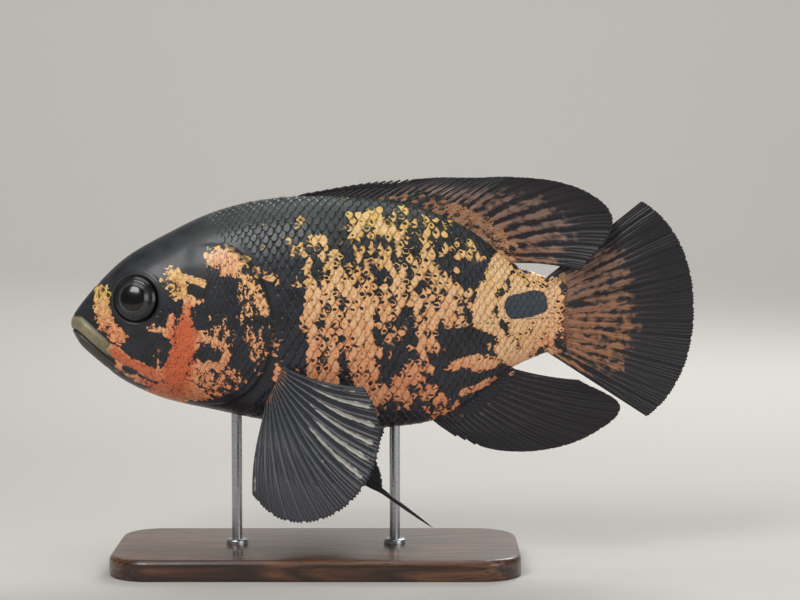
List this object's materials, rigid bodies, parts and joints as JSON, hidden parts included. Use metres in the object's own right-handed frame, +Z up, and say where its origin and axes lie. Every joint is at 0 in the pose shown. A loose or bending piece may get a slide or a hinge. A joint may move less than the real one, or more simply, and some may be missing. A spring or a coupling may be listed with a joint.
{
  "type": "oscar fish",
  "caption": "Life-size oscar fish, a deep-bodied cichlid with orange net markings and spread fins, held level by a low wooden base with rods.",
  "frame": {"origin": "centre of the stand base's underside", "axes": "+X from the snout to the tail, +Y to the fish's right, +Z up; the left side faces -Y"},
  "size_m": [0.2394, 0.0783, 0.1501],
  "materials": {
    "skin": "wet scaled skin, charcoal with orange marks",
    "gill": "wet skin, orange and grey-brown",
    "lip": "smooth moist lip, pale cream",
    "jaw": "smooth moist skin, brownish orange",
    "eye": "clear, wet, nearly black",
    "fin": "thin ribbed membrane, dark brown",
    "wood": "dark stained, satin varnish",
    "steel": "brushed round rod"
  },
  "bodies": {
    "root": {"head": "skin", "trunk": "skin", "tail_stalk": "skin", "upper_lip": "lip", "lower_jaw": "jaw", "gill_cover_left": "gill", "gill_cover_right": "gill", "eye_left": "eye", "eye_right": "eye", "dorsal_fin": "fin", "anal_fin": "fin", "tail_fin": "fin", "pectoral_fin_left": "fin", "pectoral_fin_right": "fin", "pelvic_fin_left": "fin", "pelvic_fin_right": "fin", "stand_base": "wood", "stand_rod_front": "steel", "stand_rod_rear": "steel"}
  },
  "joints": []
}
